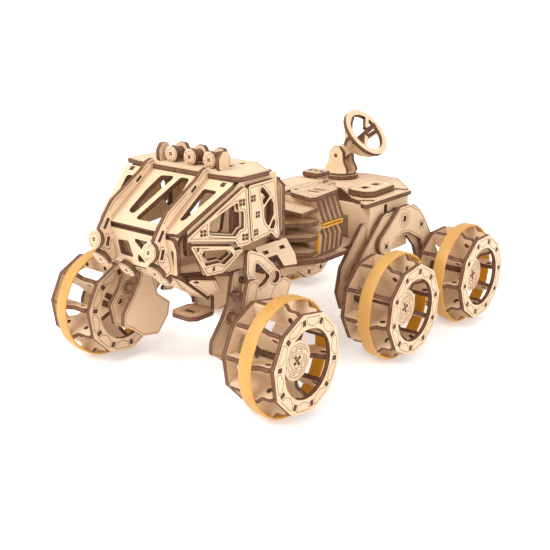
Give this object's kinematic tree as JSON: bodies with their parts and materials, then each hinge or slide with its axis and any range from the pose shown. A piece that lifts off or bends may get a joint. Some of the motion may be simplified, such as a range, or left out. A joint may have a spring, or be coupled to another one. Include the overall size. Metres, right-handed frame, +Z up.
{
  "type": "plywood model of a six-wheeled planetary rover",
  "caption": "Laser-cut plywood model kit of a planetary rover: angular open cab with roof lamps, ribbed mid body, rear box with a tilting dish, ring wheels with amber elastic bands.",
  "frame": {"origin": "on the ground under the middle of the model's overall box", "axes": "+X forward towards the cab, +Y left, +Z up"},
  "size_m": [0.3027, 0.1934, 0.1518],
  "materials": {
    "plywood": "satin sanded face with dark laser-burnt edges",
    "elastic_band": "smooth translucent amber rubber"
  },
  "bodies": {
    "chassis": {"cab_floor": "plywood", "cab_bulkhead": "plywood", "roof_panel": "plywood", "windshield_frame": "plywood", "nose_frame": "plywood", "chin_plates": "plywood", "nose_winglets": "plywood", "step_plate": "plywood", "guard_rail_left": "plywood", "guard_rail_right": "plywood", "cab_side_frame_left": "plywood", "cab_side_frame_right": "plywood", "window_panel_left": "plywood", "window_panel_right": "plywood", "lower_side_panel_left": "plywood", "lower_side_panel_right": "plywood", "rear_side_panel_left": "plywood", "rear_side_panel_right": "plywood", "roof_lamps": "plywood", "nose_lamps": "plywood", "seat": "plywood", "control_wheel": "plywood", "belly_frame": "plywood", "belly_deck": "plywood", "equipment_shelves": "plywood", "motor_ribs": "plywood", "motor_bands": "elastic_band", "lower_decks": "plywood", "deck_panels": "plywood", "spine_deck": "plywood", "sample_box": "plywood", "rear_box": "plywood", "rear_deck": "plywood", "rear_hatch": "plywood", "front_leg_left": "plywood", "front_leg_right": "plywood", "front_rocker_left": "plywood", "front_rocker_right": "plywood", "leg_fairings": "plywood", "middle_arm_left": "plywood", "middle_arm_right": "plywood", "bogie_left": "plywood", "bogie_right": "plywood"},
    "front_left_wheel": {"wheel_front_left": "plywood", "tyre_front_left": "elastic_band"},
    "front_right_wheel": {"wheel_front_right": "plywood", "tyre_front_right": "elastic_band"},
    "middle_left_wheel": {"wheel_middle_left": "plywood", "tyre_middle_left": "elastic_band"},
    "middle_right_wheel": {"wheel_middle_right": "plywood", "tyre_middle_right": "elastic_band"},
    "rear_left_wheel": {"wheel_rear_left": "plywood", "tyre_rear_left": "elastic_band"},
    "rear_right_wheel": {"wheel_rear_right": "plywood", "tyre_rear_right": "elastic_band"},
    "dish_mast": {"dish_turntable": "plywood"},
    "dish": {"dish_bowl": "plywood", "dish_rim": "plywood"}
  },
  "joints": [
    {"name": "front_left_roll", "type": "hinge", "parent": "chassis", "child": "front_left_wheel", "pos_m": [0.0978, 0.0767, 0.037], "axis": [0, 1, 0], "continuous": true},
    {"name": "front_right_roll", "type": "hinge", "parent": "chassis", "child": "front_right_wheel", "pos_m": [0.0978, -0.0767, 0.037], "axis": [0, 1, 0], "continuous": true},
    {"name": "middle_left_roll", "type": "hinge", "parent": "chassis", "child": "middle_left_wheel", "pos_m": [-0.0202, 0.0767, 0.037], "axis": [0, 1, 0], "continuous": true},
    {"name": "middle_right_roll", "type": "hinge", "parent": "chassis", "child": "middle_right_wheel", "pos_m": [-0.0202, -0.0767, 0.037], "axis": [0, 1, 0], "continuous": true},
    {"name": "rear_left_roll", "type": "hinge", "parent": "chassis", "child": "rear_left_wheel", "pos_m": [-0.1142, 0.0767, 0.037], "axis": [0, 1, 0], "continuous": true},
    {"name": "rear_right_roll", "type": "hinge", "parent": "chassis", "child": "rear_right_wheel", "pos_m": [-0.1142, -0.0767, 0.037], "axis": [0, 1, 0], "continuous": true},
    {"name": "dish_turn", "type": "hinge", "parent": "chassis", "child": "dish_mast", "pos_m": [-0.0967, -0.02, 0.0993], "axis": [0, 0, 1], "continuous": true},
    {"name": "dish_tilt", "type": "hinge", "parent": "dish_mast", "child": "dish", "pos_m": [-0.0967, -0.02, 0.117], "axis": [1, 0, 0], "range_deg": [-21, 49]}
  ]
}
